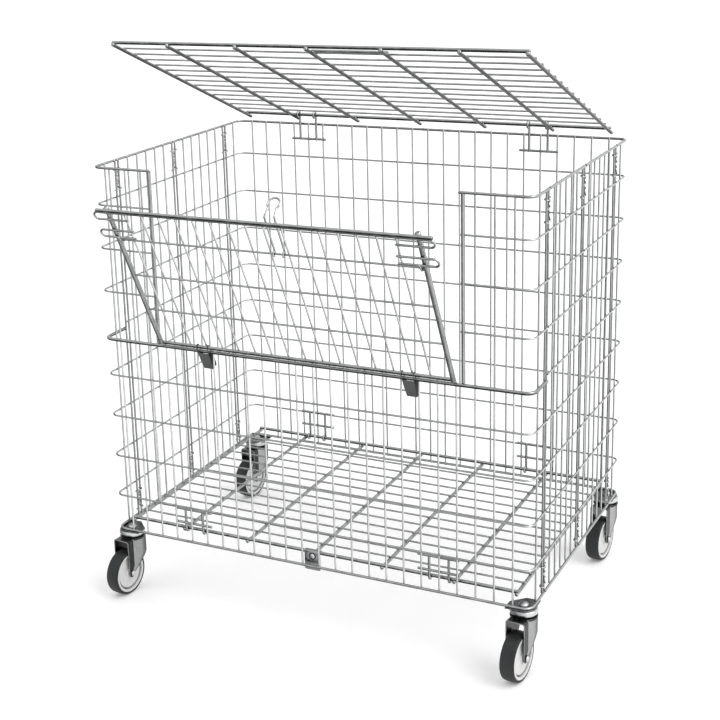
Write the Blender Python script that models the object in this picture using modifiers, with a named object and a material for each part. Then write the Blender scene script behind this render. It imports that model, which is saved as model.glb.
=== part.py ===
"""Folding wire roll container with a hinged lid, a drop flap in the front and four swivel castors.

Metres, +Z up. The front, with the flap, faces -Y. The origin is on the floor under the middle of the cage.
"""

import math

import bmesh
import bpy
from mathutils import Matrix, Vector

# Cage
CAGE_WIDTH = 1.000
CAGE_DEPTH = 0.650
CAGE_FOOT = 0.156
FIRST_ROW = 0.083
ROW_PITCH = 0.098
PITCHED_ROWS = 8
LAST_ROW = 0.084
UPRIGHT_PITCH = 0.040
CORNER_RADIUS = 0.020
BEND_STEPS = 2
WING_DEPTH = 0.080
HINGE_SPACING = 0.0125
LEAF_UPRIGHTS = 7

# Wire sections
WIRE_RADIUS = 0.0021
RIM_RADIUS = 0.003
BAR_RADIUS = 0.004
FLAP_BAR_RADIUS = 0.0055
CLIP_RADIUS = 0.0015
HOOK_RADIUS = 0.002
LATCH_RADIUS = 0.0022
GAP = 0.0003
WELD_DEPTH = 0.0006
STUB = 0.005
BAR_CORNER_UP = math.radians(30)

# Front opening and flap
HINGE_DROP = 0.390
FLAP_SIDE_GAP = 0.001
FLAP_GRID_SHIFT = 0.012
FLAP_SHORT = 0.008
POST_WIDTH = 0.144
FLAP_BOTTOM = 0.0125
FLAP_RAIL_DROP = 0.012
FLAP_OVERHANG = 0.023
FLAP_TILT = math.radians(26.9)
LUG_INSET = 0.100
LUG_WIDTH = 0.028
LUG_DEPTH = 0.016
LUG_BELOW = 0.045
LUG_ABOVE = 0.020
LUG_WALL = 0.002
LATCH_REACH = 0.032
LATCH_LOOP = 0.018
LATCH_LENGTH = 0.084
LATCH_HOOK_START = 60
LATCH_HOOK_END = -180
LATCH_RISE = 0.022
KEEPER_DROP = 0.0155
KEEPER_LENGTH = 0.080
KEEPER_SINK = 0.0011
CATCH_LEG_SPACING = 0.022
CATCH_NECK = 0.006
CATCH_REACH = 0.043
CATCH_HEAD = 0.013
CATCH_LEAN = math.radians(70)
CATCH_HEAD_WRAP = 270
CATCH_HOOK_WRAP = 270

# Lid and floor
TRAY_SIDE_GAP = 0.036
TRAY_EDGE_BAY = 0.136
TRAY_INSET = 0.0174
LID_DEPTH = 0.620
LID_RISE = 0.026
LID_OVERHANG = 0.022
LID_WIRES = 13
LID_LOCK_INSET = 0.030
LID_ANGLE = math.radians(22.5)
FLOOR_RISE = 0.026
FLOOR_WIRES = 13
BRACKET_GAP = 0.009
BRACKET_LEG_SPACING = 0.044
BRACKET_BAR_LENGTH = 0.094
BRACKET_DROP = 0.036
EYE_BARS = (0.063, 0.028)
REST_BARS = (0.049, 0.016)
EYE_WRAP = 250
REST_WRAP = 150
PLATE_WIDTH = 0.038
PLATE_HEIGHT = 0.045
PLATE_THICKNESS = 0.0015
RIVET_RADIUS = 0.008
RIVET_DROP = 0.012
RIVET_HEIGHT = 0.003
RIVET_CROWN = 0.005
RIVET_SHOULDER = 0.0024

# Hinge clips
CLIP_SPAN = 0.045
CLIP_FROM_RIM = 0.018

# Castors
CASTOR_INSET = 0.022
CASTOR_TURN = math.radians(-6)
CASTOR_TRAIL = 0.033
WHEEL_RADIUS = 0.0525
WHEEL_WIDTH = 0.032
TYRE_SHOULDER = 0.004
HUB_RADIUS = 0.046
HUB_RECESS = 0.004
HUB_BOSS_RADIUS = 0.012
AXLE_RADIUS = 0.004
AXLE_HEAD_RADIUS = 0.0075
AXLE_HEAD = 0.005
FORK_CLEARANCE = 0.003
FORK_WALL = 0.0025
FORK_TOE = 0.010
FORK_TOE_START = 20
FORK_TOE_END = -180
FORK_HALF = 0.022
FORK_SHOULDER = 0.046
SHELF_DROP = 0.002
CROWN_RADIUS = 0.029
CROWN_HEIGHT = 0.008
CUP_RADIUS = 0.030
CUP_LIP_RADIUS = 0.024
CUP_HEIGHT = 0.014
PLATE_LEG = 0.058
PLATE_NOSE = 0.030
PLATE_CORNER = 0.010
MOUNT_PLATE = 0.003
BOLT_HEAD_RADIUS = 0.011
BOLT_HEAD_HEIGHT = 0.008
BOLT_CROWN = 0.0066
TURN_STEPS = 12
WHEEL_STEPS = 20
HOLE_STEPS = 8
ARC_STEPS = 5
CATCH_STEPS = 6

HALF_WIDTH = CAGE_WIDTH / 2
HALF_DEPTH = CAGE_DEPTH / 2
WALL_HEIGHT = FIRST_ROW + (PITCHED_ROWS - 1) * ROW_PITCH + LAST_ROW
CAGE_TOP = CAGE_FOOT + WALL_HEIGHT
HINGE_Z = CAGE_TOP - HINGE_DROP
ROW_DROPS = [0.0] + [FIRST_ROW + i * ROW_PITCH for i in range(PITCHED_ROWS)] + [WALL_HEIGHT]
POST_ROWS = [drop for drop in ROW_DROPS if drop < HINGE_DROP - ROW_PITCH / 2]
LOWER_ROWS = [drop for drop in ROW_DROPS if drop > HINGE_DROP + ROW_PITCH / 2]
PASS = 2 * WIRE_RADIUS + GAP
WELD = 2 * WIRE_RADIUS - WELD_DEPTH
FLAT_HALF = HALF_WIDTH - CORNER_RADIUS
PANEL_END = FLAT_HALF - 2 * RIM_RADIUS
# As many as fit, half to each side of the middle
UPRIGHTS = 2 * int((PANEL_END - WIRE_RADIUS) / UPRIGHT_PITCH + 0.5)
WING_END = HALF_DEPTH - WING_DEPTH
POST_INNER = HALF_WIDTH - POST_WIDTH
FLAP_HEIGHT = HINGE_DROP
FLAP_LEFT = -(POST_INNER - BAR_RADIUS - FLAP_BAR_RADIUS - FLAP_SIDE_GAP)
FLAP_RIGHT = -FLAP_LEFT - FLAP_SHORT
FLAP_TOP_HALF = FLAP_OVERHANG - FLAP_LEFT
LUG_X = round((FLAP_RIGHT - LUG_INSET) / UPRIGHT_PITCH) * UPRIGHT_PITCH
CATCH_X = UPRIGHT_PITCH - FLAP_GRID_SHIFT
HINGE_BAR_Y = -HALF_DEPTH
TRAY_Y = HALF_DEPTH - TRAY_INSET
TRAY_HALF_WIDTH = HALF_WIDTH - TRAY_SIDE_GAP
TRAY_OUTER_BAR = TRAY_HALF_WIDTH - TRAY_EDGE_BAY
TRAY_INNER_BAR = TRAY_OUTER_BAR / 2
BRACKET_X = TRAY_OUTER_BAR - BRACKET_LEG_SPACING / 2 - BRACKET_GAP
LID_Z = CAGE_TOP + LID_RISE
FLOOR_Z = CAGE_FOOT + FLOOR_RISE
FLOOR_DEPTH = 2 * TRAY_Y
FLAP_LOWEST = FLAP_BOTTOM + ROW_PITCH / 2
FLAP_ROWS = [FLAP_HEIGHT - drop for drop in ROW_DROPS[1:] if FLAP_HEIGHT - drop > FLAP_LOWEST]
MOUNT_Z = CAGE_FOOT - RIM_RADIUS - GAP - MOUNT_PLATE / 2
CROWN_Z = MOUNT_Z - MOUNT_PLATE / 2 - CUP_HEIGHT - GAP
X_TURN = Matrix.Rotation(math.pi / 2, 4, "Y")
LEG_TURN = Matrix(((0, 0, 1, 0), (1, 0, 0, 0), (0, 1, 0, 0), (0, 0, 0, 1)))
SIDES = (("left", -1), ("right", 1))
ENDS = (("front", -1), ("back", 1))

ZINC = ("zinc_wire", (0.62, 0.63, 0.64, 1), 1.0, 0.3)
STEEL = ("pressed_zinc", (0.55, 0.56, 0.57, 1), 1.0, 0.35)
DARK = ("dark_lug", (0.05, 0.05, 0.055, 1), 0.3, 0.5)
RUBBER = ("grey_rubber", (0.06, 0.065, 0.07, 1), 0.0, 0.7)
PLASTIC = ("pale_hub", (0.72, 0.72, 0.71, 1), 0.0, 0.45)


def clear():
    for obj in list(bpy.data.objects):
        bpy.data.objects.remove(obj)


def collection(name):
    group = bpy.data.collections.new(name)
    bpy.context.scene.collection.children.link(group)
    return group


def material(spec):
    name, colour, metallic, roughness = spec
    found = bpy.data.materials.get(name)
    if found:
        return found
    made = bpy.data.materials.new(name)
    made.use_nodes = True
    shader = made.node_tree.nodes["Principled BSDF"]
    shader.inputs["Base Color"].default_value = colour
    shader.inputs["Metallic"].default_value = metallic
    shader.inputs["Roughness"].default_value = roughness
    return made


def evaluated_mesh(obj):
    """The object's evaluated mesh, with loose caps welded on."""
    bpy.context.view_layer.update()
    graph = bpy.context.evaluated_depsgraph_get()
    mesh = bpy.data.meshes.new_from_object(obj.evaluated_get(graph))
    work = bmesh.new()
    work.from_mesh(mesh)
    bmesh.ops.remove_doubles(work, verts=work.verts, dist=0.00001)
    work.to_mesh(mesh)
    work.free()
    return mesh


def temporary(data):
    obj = bpy.data.objects.new("work", data)
    bpy.context.scene.collection.objects.link(obj)
    return obj


def arc(across, up, radius, start, end, steps=ARC_STEPS):
    """Points along an arc in a plane; the angles are degrees from the first axis to the second."""
    points = []
    for i in range(steps + 1):
        angle = math.radians(start + (end - start) * i / steps)
        points.append((across + radius * math.cos(angle), up + radius * math.sin(angle)))
    return points


def wrapped(across, up, reach, start, end):
    """An arc round a bar, whose straight steps come no nearer to the bar's axis than the reach."""
    half_step = math.radians(abs(end - start) / ARC_STEPS / 2)
    return arc(across, up, reach / math.cos(half_step), start, end)


def wires(paths, radius, tilt=0.0):
    """Wires along the paths as one mesh: four sides on thin wire, six on bars, which tilt turns."""
    heavy = radius >= RIM_RADIUS
    curve = bpy.data.curves.new("wire", "CURVE")
    curve.dimensions = "3D"
    curve.bevel_depth = radius
    curve.bevel_resolution = 1 if heavy else 0
    curve.use_fill_caps = True
    for path in paths:
        spline = curve.splines.new("POLY")
        spline.points.add(len(path) - 1)
        for point, place in zip(spline.points, path):
            point.co = (*place, 1)
            point.tilt = tilt if heavy else 0
    obj = temporary(curve)
    mesh = evaluated_mesh(obj)
    bpy.data.objects.remove(obj)
    return mesh


def box(low, high):
    """A block between two corners."""
    work = bmesh.new()
    bmesh.ops.create_cube(work, size=1)
    size = Vector(high) - Vector(low)
    bmesh.ops.scale(work, vec=size, verts=work.verts)
    bmesh.ops.translate(work, vec=(Vector(high) + Vector(low)) / 2, verts=work.verts)
    mesh = bpy.data.meshes.new("box")
    work.to_mesh(mesh)
    work.free()
    return mesh


def rod_x(radius, low, high, y, z):
    """A cylinder along X between two x positions."""
    work = bmesh.new()
    bmesh.ops.create_cone(
        work, cap_ends=True, segments=HOLE_STEPS, radius1=radius, radius2=radius, depth=high - low
    )
    bmesh.ops.rotate(work, verts=work.verts, matrix=X_TURN.to_3x3())
    bmesh.ops.translate(work, vec=((low + high) / 2, y, z), verts=work.verts)
    mesh = bpy.data.meshes.new("rod")
    work.to_mesh(mesh)
    work.free()
    return mesh


def turned(profile, steps=TURN_STEPS):
    """A solid of revolution about Z from (radius, height) points, top to bottom; closed if they return."""
    work = bmesh.new()
    verts = [work.verts.new((radius, 0, height)) for radius, height in profile]
    for first, second in zip(verts, verts[1:]):
        work.edges.new((first, second))
    if profile[0][0] > 0 and profile[-1][0] > 0:
        work.edges.new((verts[-1], verts[0]))
    mesh = bpy.data.meshes.new("profile")
    work.to_mesh(mesh)
    work.free()
    obj = temporary(mesh)
    screw = obj.modifiers.new("Screw", "SCREW")
    screw.steps = steps
    screw.render_steps = steps
    screw.use_merge_vertices = True
    screw.merge_threshold = 0.00001
    made = evaluated_mesh(obj)
    bpy.data.objects.remove(obj)
    return made


def sheet(outline, thickness):
    """A flat outline in XY, extruded to both sides of Z = 0."""
    curve = bpy.data.curves.new("outline", "CURVE")
    curve.dimensions = "2D"
    curve.fill_mode = "BOTH"
    curve.extrude = thickness / 2
    spline = curve.splines.new("POLY")
    spline.points.add(len(outline) - 1)
    spline.use_cyclic_u = True
    for point, place in zip(spline.points, outline):
        point.co = (*place, 0, 1)
    obj = temporary(curve)
    mesh = evaluated_mesh(obj)
    bpy.data.objects.remove(obj)
    return mesh


def along_x(mesh):
    """The mesh turned so that its Z axis lies along X."""
    mesh.transform(X_TURN)
    return mesh


def combined(base, others, operation):
    """One mesh: the base with every other mesh added to it or cut from it."""
    obj = temporary(base)
    helpers = [temporary(other) for other in others]
    for helper in helpers:
        boolean = obj.modifiers.new("Boolean", "BOOLEAN")
        boolean.operation = operation
        boolean.solver = "EXACT"
        boolean.object = helper
    mesh = evaluated_mesh(obj)
    for used in [obj] + helpers:
        bpy.data.objects.remove(used)
    return mesh


def node(name, mesh, finish, location=(0, 0, 0), tilt=0.0, turn=0.0, parent=None):
    """A named piece: its origin is its joint's axis, if it moves."""
    obj = bpy.data.objects.new(name, mesh)
    mesh.name = name
    mesh.materials.clear()
    mesh.materials.append(material(finish))
    mesh.shade_smooth()
    mesh.set_sharp_from_angle(angle=math.radians(40))
    obj.location = location
    obj.rotation_euler = (tilt, 0, turn)
    obj.parent = parent
    PARTS.objects.link(obj)
    return obj


def row_radius(drop):
    """Rim wires at the top and the foot are heavier than the rows between them."""
    if drop in (0.0, WALL_HEIGHT):
        return RIM_RADIUS
    return BAR_RADIUS if drop == HINGE_DROP else WIRE_RADIUS


def by_radius(rows, tilt):
    """The (path, radius) pairs gathered into one mesh for each radius."""
    radii = sorted({radius for _, radius in rows})
    return [wires([path for path, at in rows if at == radius], radius, tilt) for radius in radii]


def welded(uprights, rows, tilt=0.0):
    """A welded wire panel: the uprights, with the rows fused to those that they reach into."""
    meshes = by_radius(uprights, tilt) + by_radius(rows, tilt)
    return combined(meshes[0], meshes[1:], "UNION")


def upright_x():
    return [(i - (UPRIGHTS - 1) / 2) * UPRIGHT_PITCH for i in range(UPRIGHTS)]


def wall_grid(side, drops, top, foot):
    """A flat wall panel at the front (side -1) or the back (side 1)."""
    places = upright_x()
    uprights = []
    for x in places:
        inset = WELD if x in (places[0], places[-1]) else PASS
        y = side * (HALF_DEPTH - inset)
        uprights.append((((x, y, top), (x, y, foot)), WIRE_RADIUS))
    rows = []
    for drop in drops:
        z = CAGE_TOP - drop
        path = ((-PANEL_END, side * HALF_DEPTH, z), (PANEL_END, side * HALF_DEPTH, z))
        rows.append((path, row_radius(drop)))
    return welded(uprights, rows)


def corner_path(across, along, z):
    """A row that bends round a corner and runs along the side as far as the first hinge."""
    path = [(PANEL_END + GAP, HALF_DEPTH)]
    path += arc(FLAT_HALF, HALF_DEPTH - CORNER_RADIUS, CORNER_RADIUS, 90, 0, BEND_STEPS)
    path.append((HALF_WIDTH, WING_END - WIRE_RADIUS - GAP))
    return [(across * x, along * y, z) for x, y in path]


def wing(across, along, drops):
    """The bent edge of the front or back wall, with the two uprights on its side."""
    uprights = []
    for y, inset in ((WING_END, WELD), (WING_END + WING_DEPTH / 2, PASS)):
        x = across * (HALF_WIDTH - inset)
        top = (x, along * y, CAGE_TOP + WELD_DEPTH)
        uprights.append(((top, (x, along * y, CAGE_FOOT - WELD_DEPTH)), WIRE_RADIUS))
    rows = [(corner_path(across, along, CAGE_TOP - drop), row_radius(drop)) for drop in drops]
    return welded(uprights, rows)


def leaf(across, along):
    """One of the two folding leaves of a side."""
    outer = WING_END - HINGE_SPACING
    inner = HINGE_SPACING / 2
    pitch = (outer - inner) / (LEAF_UPRIGHTS - 1)
    uprights = []
    for i in range(LEAF_UPRIGHTS):
        x = across * (HALF_WIDTH - (WELD if i in (0, LEAF_UPRIGHTS - 1) else PASS))
        y = along * (inner + i * pitch)
        top = (x, y, CAGE_TOP + WELD_DEPTH)
        uprights.append(((top, (x, y, CAGE_FOOT - WELD_DEPTH)), WIRE_RADIUS))
    reach = WIRE_RADIUS + GAP
    rows = []
    for drop in ROW_DROPS:
        z = CAGE_TOP - drop
        x = across * HALF_WIDTH
        path = ((x, along * (inner - reach), z), (x, along * (outer + reach), z))
        rows.append((path, row_radius(drop)))
    return welded(uprights, rows)


def post(across):
    """The mesh beside the front opening, with its heavy inner rod."""
    rod_y = HINGE_BAR_Y + BAR_RADIUS - RIM_RADIUS
    base = HINGE_Z + BAR_RADIUS + GAP
    rod = (((across * POST_INNER, rod_y, CAGE_TOP), (across * POST_INNER, rod_y, base)), BAR_RADIUS)
    uprights = [rod]
    y = -(HALF_DEPTH - WELD)
    for x in upright_x():
        if x > POST_INNER + UPRIGHT_PITCH / 2:
            path = ((across * x, y, CAGE_TOP + WELD_DEPTH), (across * x, y, HINGE_Z + STUB + GAP))
            uprights.append((path, WIRE_RADIUS))
    rows = []
    for drop in POST_ROWS:
        z = CAGE_TOP - drop
        path = ((across * POST_INNER, -HALF_DEPTH, z), (across * PANEL_END, -HALF_DEPTH, z))
        rows.append((path, row_radius(drop)))
    return welded(uprights, rows)


def clip(across, y, top):
    """Two wire rings round a pair of uprights, joined by a straight run, as one bent wire."""
    reach = WIRE_RADIUS + GAP + CLIP_RADIUS
    half = HINGE_SPACING / 2 + reach
    x = across * (HALF_WIDTH - WELD)
    ring = ((-1, half), (1, half), (1, -half), (-1, -half), (-1, half - 4 * CLIP_RADIUS))
    step = (2 * CLIP_RADIUS + 2 * GAP) / len(ring)
    path = []
    for base in (top, top - CLIP_SPAN):
        for i, (side, offset) in enumerate(ring):
            path.append((x - across * side * reach, y + offset, base - i * step))
    return wires([path], CLIP_RADIUS)


def tray(depth, wire_count, overhang, lock):
    """Lid or floor: heavy bars under thin cross wires, hinged on the rear bar at the local origin."""
    low = -(BAR_RADIUS + WIRE_RADIUS + GAP)
    bars = []
    for x in (-TRAY_OUTER_BAR, -TRAY_INNER_BAR, 0, TRAY_INNER_BAR, TRAY_OUTER_BAR):
        bars.append((((x, overhang, low), (x, -depth - BAR_RADIUS, low)), BAR_RADIUS))
    edge = low + GAP + WELD_DEPTH
    for x in (-TRAY_HALF_WIDTH, TRAY_HALF_WIDTH):
        bars.append((((x, overhang, edge), (x, -depth - BAR_RADIUS, edge)), BAR_RADIUS))
    end = TRAY_HALF_WIDTH + BAR_RADIUS
    rows = []
    for y in (0, -depth):
        rows.append((((-end, y, 0), (end, y, 0)), BAR_RADIUS))
    pitch = depth / (wire_count + 1)
    for i in range(1, wire_count + 1):
        rows.append((((-end, -i * pitch, 0), (end, -i * pitch, 0)), WIRE_RADIUS))
    if lock:
        y = -depth + lock
        rows.append((((-BAR_RADIUS, y, 0), (TRAY_INNER_BAR + BAR_RADIUS, y, 0)), RIM_RADIUS))
    return welded(bars, rows, BAR_CORNER_UP)


def bracket(centre, wall, heights, z, wrap):
    """Short bars against the wall's uprights, with two legs that end in hooks round a tray's bar.

    wall is 1 at the back and -1 at the front, and the hooks wrap round the bar from the wall's side.
    """
    reach = BAR_RADIUS + HOOK_RADIUS + GAP
    against = HALF_DEPTH - PASS - WIRE_RADIUS - GAP - HOOK_RADIUS
    half = BRACKET_BAR_LENGTH / 2
    bars = [((centre - half, wall * against, at), (centre + half, wall * against, at)) for at in heights]
    legs = []
    past = HOOK_RADIUS if heights[0] > z else -HOOK_RADIUS
    for side in (-1, 1):
        x = centre + side * BRACKET_LEG_SPACING / 2
        hook = [(x, wall * y, height) for y, height in wrapped(TRAY_Y, z, reach, 0, wrap)]
        legs.append([(x, hook[0][1], heights[0] + past)] + hook)
    return combined(wires(bars, HOOK_RADIUS), [wires(legs, HOOK_RADIUS)], "UNION")


def flap():
    """The drop flap, upright, with its hinge axis at the local origin."""
    top = FLAP_HEIGHT
    front = -(BAR_RADIUS + FLAP_BAR_RADIUS - WELD_DEPTH)
    side_foot = FLAP_BOTTOM - BAR_RADIUS
    side_y = -WELD_DEPTH
    uprights = []
    for x in (FLAP_LEFT, FLAP_RIGHT):
        uprights.append((((x, side_y, top), (x, side_y, side_foot)), FLAP_BAR_RADIUS))
    margin = UPRIGHT_PITCH / 2
    for x in (place - FLAP_GRID_SHIFT for place in upright_x()):
        if FLAP_LEFT + margin < x < FLAP_RIGHT - margin:
            high = (x, PASS, top - FLAP_RAIL_DROP + WELD_DEPTH)
            uprights.append(((high, (x, PASS, side_foot)), WIRE_RADIUS))
    rows = [(((FLAP_LEFT, 0, FLAP_BOTTOM), (FLAP_RIGHT, 0, FLAP_BOTTOM)), BAR_RADIUS)]
    rows.append((((-FLAP_TOP_HALF, front, top), (FLAP_TOP_HALF, front, top)), BAR_RADIUS))
    rail = top - FLAP_RAIL_DROP
    rows.append((((FLAP_LEFT, 0, rail), (FLAP_RIGHT, 0, rail)), RIM_RADIUS))
    for z in FLAP_ROWS:
        rows.append((((FLAP_LEFT, 0, z), (FLAP_RIGHT, 0, z)), WIRE_RADIUS))
    keeper_y = side_y - (FLAP_BAR_RADIUS + LATCH_RADIUS - KEEPER_SINK)
    for side in (-1, 1):
        loop = long_loop(side, KEEPER_LENGTH)
        rows.append(([(x, keeper_y, top - KEEPER_DROP + z) for x, z in loop], LATCH_RADIUS))
    return welded(uprights, rows)


def long_loop(side, length):
    """A loop of wire bent to a U, its round end past the flap's side bar, about its own middle height."""
    half = LATCH_LOOP / 2
    bar = FLAP_RIGHT if side > 0 else -FLAP_LEFT
    outer = bar + LATCH_REACH - half
    inner = bar + LATCH_REACH - length
    path = [(inner, half)] + arc(outer, 0, half, 90, -90) + [(inner, -half)]
    return [(side * x, z) for x, z in path]


def lug(x):
    """A U-channel that carries the flap's foot bar on the hinge bar."""
    half = LUG_WIDTH / 2
    deep = LUG_DEPTH / 2
    body = box((x - half, -deep, -LUG_BELOW), (x + half, deep, LUG_ABOVE))
    inside = half - LUG_WALL
    floor = (x - inside, -deep + LUG_WALL, -LUG_BELOW - LUG_WALL)
    channel = box(floor, (x + inside, 2 * deep, 2 * LUG_ABOVE))
    bore = (BAR_RADIUS + GAP) / math.cos(math.pi / HOLE_STEPS)
    holes = [rod_x(bore, x - 2 * half, x + 2 * half, 0, z) for z in (0, FLAP_BOTTOM)]
    return combined(body, [channel] + holes, "DIFFERENCE")


def latch(side):
    """A sliding latch: a long wire loop before the flap's side bar, hooked round the flap's top row."""
    front = -(FLAP_BAR_RADIUS + LATCH_RADIUS + GAP)
    bar = FLAP_RIGHT if side > 0 else -FLAP_LEFT
    hook_x = side * (bar - FLAP_BAR_RADIUS - LATCH_RADIUS - GAP)
    reach = WIRE_RADIUS + LATCH_RADIUS + GAP
    hook = wrapped(0, 0, reach, LATCH_HOOK_START, LATCH_HOOK_END)
    path = [(hook_x, y, z) for y, z in hook] + [(hook_x, front, LATCH_RISE - LATCH_LOOP / 2)]
    loop = [(x, front, LATCH_RISE + z) for x, z in long_loop(side, LATCH_LENGTH)]
    return combined(wires([loop], LATCH_RADIUS), [wires([path], LATCH_RADIUS)], "UNION")


def lid_catch():
    """An omega of wire that swings on the flap's top row and leans on its rail, its head bent back."""
    reach = WIRE_RADIUS + HOOK_RADIUS + GAP
    half = CATCH_LEG_SPACING / 2
    rise = FLAP_HEIGHT - FLAP_ROWS[0]
    lean = RIM_RADIUS + HOOK_RADIUS + 2 * GAP
    bend = rise + CATCH_NECK
    hook = wrapped(0, 0, reach, CATCH_HOOK_WRAP, 0)
    start = 90 + CATCH_HEAD_WRAP / 2
    head = arc(0, CATCH_REACH - CATCH_HEAD, CATCH_HEAD, start, start - CATCH_HEAD_WRAP, CATCH_STEPS)
    back, up = math.sin(CATCH_LEAN), math.cos(CATCH_LEAN)
    path = [(-half, y, z) for y, z in hook] + [(-half, lean, bend)]
    path += [(x, lean + out * back, bend + out * up) for x, out in head]
    path += [(half, lean, bend)] + [(half, y, z) for y, z in reversed(hook)]
    return wires([path], HOOK_RADIUS)


def castor_mount(across, along):
    """The corner plate under the foot wire, with the castor's bearing cup and bolt."""
    corner = RIM_RADIUS + CASTOR_INSET
    outline = [(PLATE_CORNER, 0), (PLATE_LEG, 0), (PLATE_LEG, PLATE_NOSE)]
    outline += [(PLATE_NOSE, PLATE_LEG), (0, PLATE_LEG), (0, PLATE_CORNER)]
    placed = [(across * (corner - a), along * (corner - b)) for a, b in outline]
    plate = sheet(placed, MOUNT_PLATE)
    top = MOUNT_PLATE / 2
    foot = -top - CUP_HEIGHT
    profile = [(0, top + BOLT_HEAD_HEIGHT), (BOLT_CROWN, top + BOLT_HEAD_HEIGHT)]
    profile += [(BOLT_HEAD_RADIUS, top + BOLT_HEAD_HEIGHT / 2), (BOLT_HEAD_RADIUS, 0)]
    profile += [(CUP_LIP_RADIUS, 0), (CUP_LIP_RADIUS, -top - CUP_HEIGHT / 3)]
    profile += [(CUP_RADIUS, -top - CUP_HEIGHT / 2), (CUP_RADIUS, foot), (0, foot)]
    return combined(plate, [turned(profile)], "UNION")


def fork():
    """The pressed fork: a round crown, a shelf before it, and two legs with straight front edges.

    The top of the crown is at the local origin.
    """
    crown = turned([(0, 0), (CROWN_RADIUS, 0), (CROWN_RADIUS, -CROWN_HEIGHT), (0, -CROWN_HEIGHT)])
    axle_z = WHEEL_RADIUS - CROWN_Z
    front = CASTOR_TRAIL + FORK_TOE
    outline = [(-front, -SHELF_DROP), (FORK_HALF, -SHELF_DROP), (FORK_HALF, -FORK_SHOULDER)]
    outline += arc(-CASTOR_TRAIL, axle_z, FORK_TOE, FORK_TOE_START, FORK_TOE_END)
    inner = WHEEL_WIDTH / 2 + FORK_CLEARANCE
    legs = []
    for side in (-1, 1):
        leg = sheet(outline, FORK_WALL)
        leg.transform(LEG_TURN)
        leg.transform(Matrix.Translation((side * (inner + FORK_WALL / 2), 0, 0)))
        legs.append(leg)
    half = inner + FORK_WALL / 2
    top = -SHELF_DROP - GAP
    shelf = box((-half, FORK_WALL / 2 - front, top - FORK_WALL), (half, 0, top))
    joined = combined(crown, legs + [shelf], "UNION")
    reach = inner + 2 * FORK_WALL
    bore = (AXLE_RADIUS + GAP) / math.cos(math.pi / HOLE_STEPS)
    return combined(joined, [rod_x(bore, -reach, reach, -CASTOR_TRAIL, axle_z)], "DIFFERENCE")


def axle():
    """The axle bolt and its nut, about Z; the head and the nut are outside the fork's legs."""
    inner = WHEEL_WIDTH / 2 + FORK_CLEARANCE + FORK_WALL + GAP
    end = inner + AXLE_HEAD
    profile = [(0, end), (AXLE_HEAD_RADIUS, end), (AXLE_HEAD_RADIUS, inner), (AXLE_RADIUS, inner)]
    profile += [(radius, -height) for radius, height in reversed(profile)]
    return along_x(turned(profile, HOLE_STEPS))


def wheel_ring(profile):
    """A ring of the wheel about X that stands on a flat step of its turning."""
    ring = turned(profile, WHEEL_STEPS)
    ring.transform(Matrix.Rotation(math.pi / WHEEL_STEPS, 4, "Z"))
    return along_x(ring)


def tyre():
    half = WHEEL_WIDTH / 2
    inside = (HUB_RADIUS + GAP) / math.cos(math.pi / WHEEL_STEPS)
    outside = WHEEL_RADIUS / math.cos(math.pi / WHEEL_STEPS)
    profile = [(inside, half), (outside - TYRE_SHOULDER, half), (outside, half - TYRE_SHOULDER)]
    profile += [(outside, -half + TYRE_SHOULDER), (outside - TYRE_SHOULDER, -half), (inside, -half)]
    return wheel_ring(profile)


def hub():
    half = WHEEL_WIDTH / 2
    web = half - HUB_RECESS
    bore = (AXLE_RADIUS + GAP) / math.cos(math.pi / WHEEL_STEPS)
    rim = HUB_RADIUS - HUB_RECESS
    face = [(bore, half), (HUB_BOSS_RADIUS, half), (rim, web), (HUB_RADIUS, half)]
    profile = face + [(radius, -height) for radius, height in reversed(face)]
    return wheel_ring(profile)


def floor_plate():
    """The small sheet clip on the front of the floor, seated against the floor's front bar."""
    y = -FLOOR_DEPTH - BAR_RADIUS - GAP
    half = PLATE_WIDTH / 2
    low = (-half, y - PLATE_THICKNESS, BAR_RADIUS - PLATE_HEIGHT)
    return box(low, (half, y, BAR_RADIUS))


def floor_rivet():
    y = -FLOOR_DEPTH - BAR_RADIUS - 2 * GAP - PLATE_THICKNESS
    profile = [(0, RIVET_HEIGHT), (RIVET_CROWN, RIVET_SHOULDER), (RIVET_RADIUS, 0), (0, 0)]
    dome = turned(profile)
    dome.transform(Matrix.Rotation(math.pi / 2, 4, "X"))
    dome.transform(Matrix.Translation((0, y, BAR_RADIUS - RIVET_DROP)))
    return dome


def build_cage():
    foot = CAGE_FOOT - WELD_DEPTH
    front_drops = [HINGE_DROP] + LOWER_ROWS
    node("back_panel", wall_grid(1, ROW_DROPS, CAGE_TOP + WELD_DEPTH, foot), ZINC)
    node("front_panel", wall_grid(-1, front_drops, HINGE_Z + STUB, foot), ZINC)
    for side, across in SIDES:
        node(f"back_wing_{side}", wing(across, 1, ROW_DROPS), ZINC)
        node(f"front_wing_{side}", wing(across, -1, POST_ROWS + front_drops), ZINC)
        node(f"front_post_{side}", post(across), ZINC)
        for end, along in ENDS:
            node(f"{end}_leaf_{side}", leaf(across, along), ZINC)


def build_hinge_clips():
    line = WING_END - HINGE_SPACING / 2
    heights = (("top", CAGE_TOP - CLIP_FROM_RIM), ("foot", CAGE_FOOT + CLIP_FROM_RIM + CLIP_SPAN))
    for side, across in SIDES:
        for place, y in (("front", -line), ("middle", 0), ("back", line)):
            for level, top in heights:
                node(f"hinge_clip_{side}_{place}_{level}", clip(across, y, top), ZINC)


def build_flap():
    frame = node("flap", flap(), ZINC, (0, HINGE_BAR_Y, HINGE_Z), FLAP_TILT)
    top_row = (0, 0, FLAP_ROWS[0])
    for side, across in SIDES:
        node(f"flap_lug_{side}", lug(across * LUG_X), DARK, parent=frame)
        node(f"flap_latch_{side}", latch(across), ZINC, top_row, parent=frame)
    node("lid_catch", lid_catch(), ZINC, (CATCH_X, 0, FLAP_ROWS[0]), parent=frame)


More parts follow.
